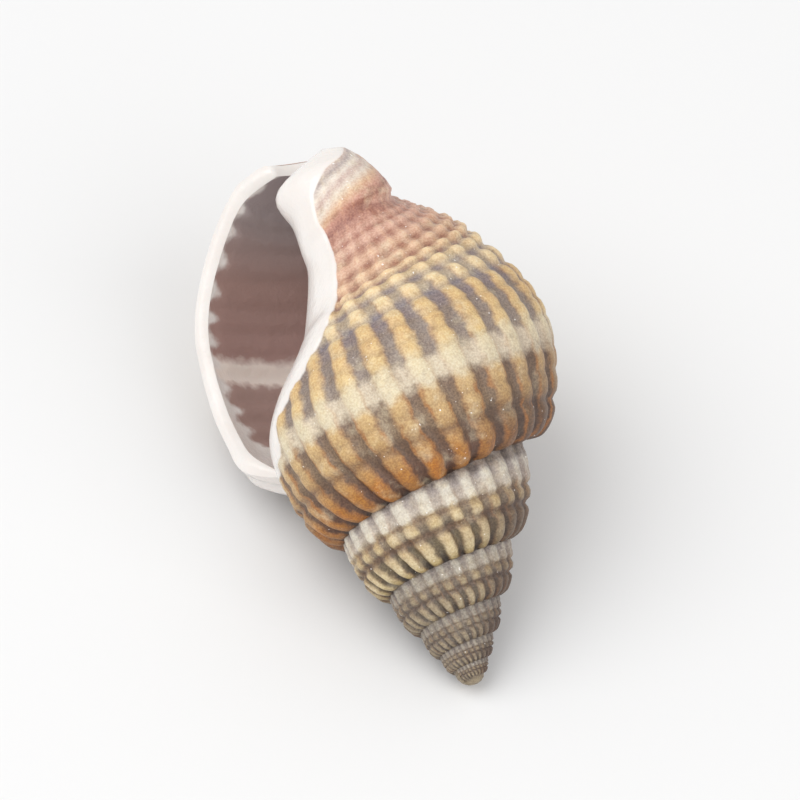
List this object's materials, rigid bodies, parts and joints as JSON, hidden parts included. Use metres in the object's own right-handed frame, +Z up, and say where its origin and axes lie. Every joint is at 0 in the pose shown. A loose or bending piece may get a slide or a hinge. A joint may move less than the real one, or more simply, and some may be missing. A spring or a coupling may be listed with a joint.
{
  "type": "nassa shell",
  "caption": "Small dog whelk sea shell with a ribbed pointed spire, beaded base, open aperture with a white lip, lying on its back",
  "frame": {"origin": "middle of the footprint box, on the surface that the shell lies on", "axes": "+Z up; the shell's long axis lies over Y, with the apex towards -Y and low and the siphonal canal towards +Y; the aperture opens upwards towards -X"},
  "size_m": [0.0132, 0.021, 0.0119],
  "materials": {
    "shell": "natural sea shell: satin, banded in tan, slate and cream, with a glossy white lip and columella and a dark brown inside"
  },
  "bodies": {
    "root": {"shell": "shell"}
  },
  "joints": []
}
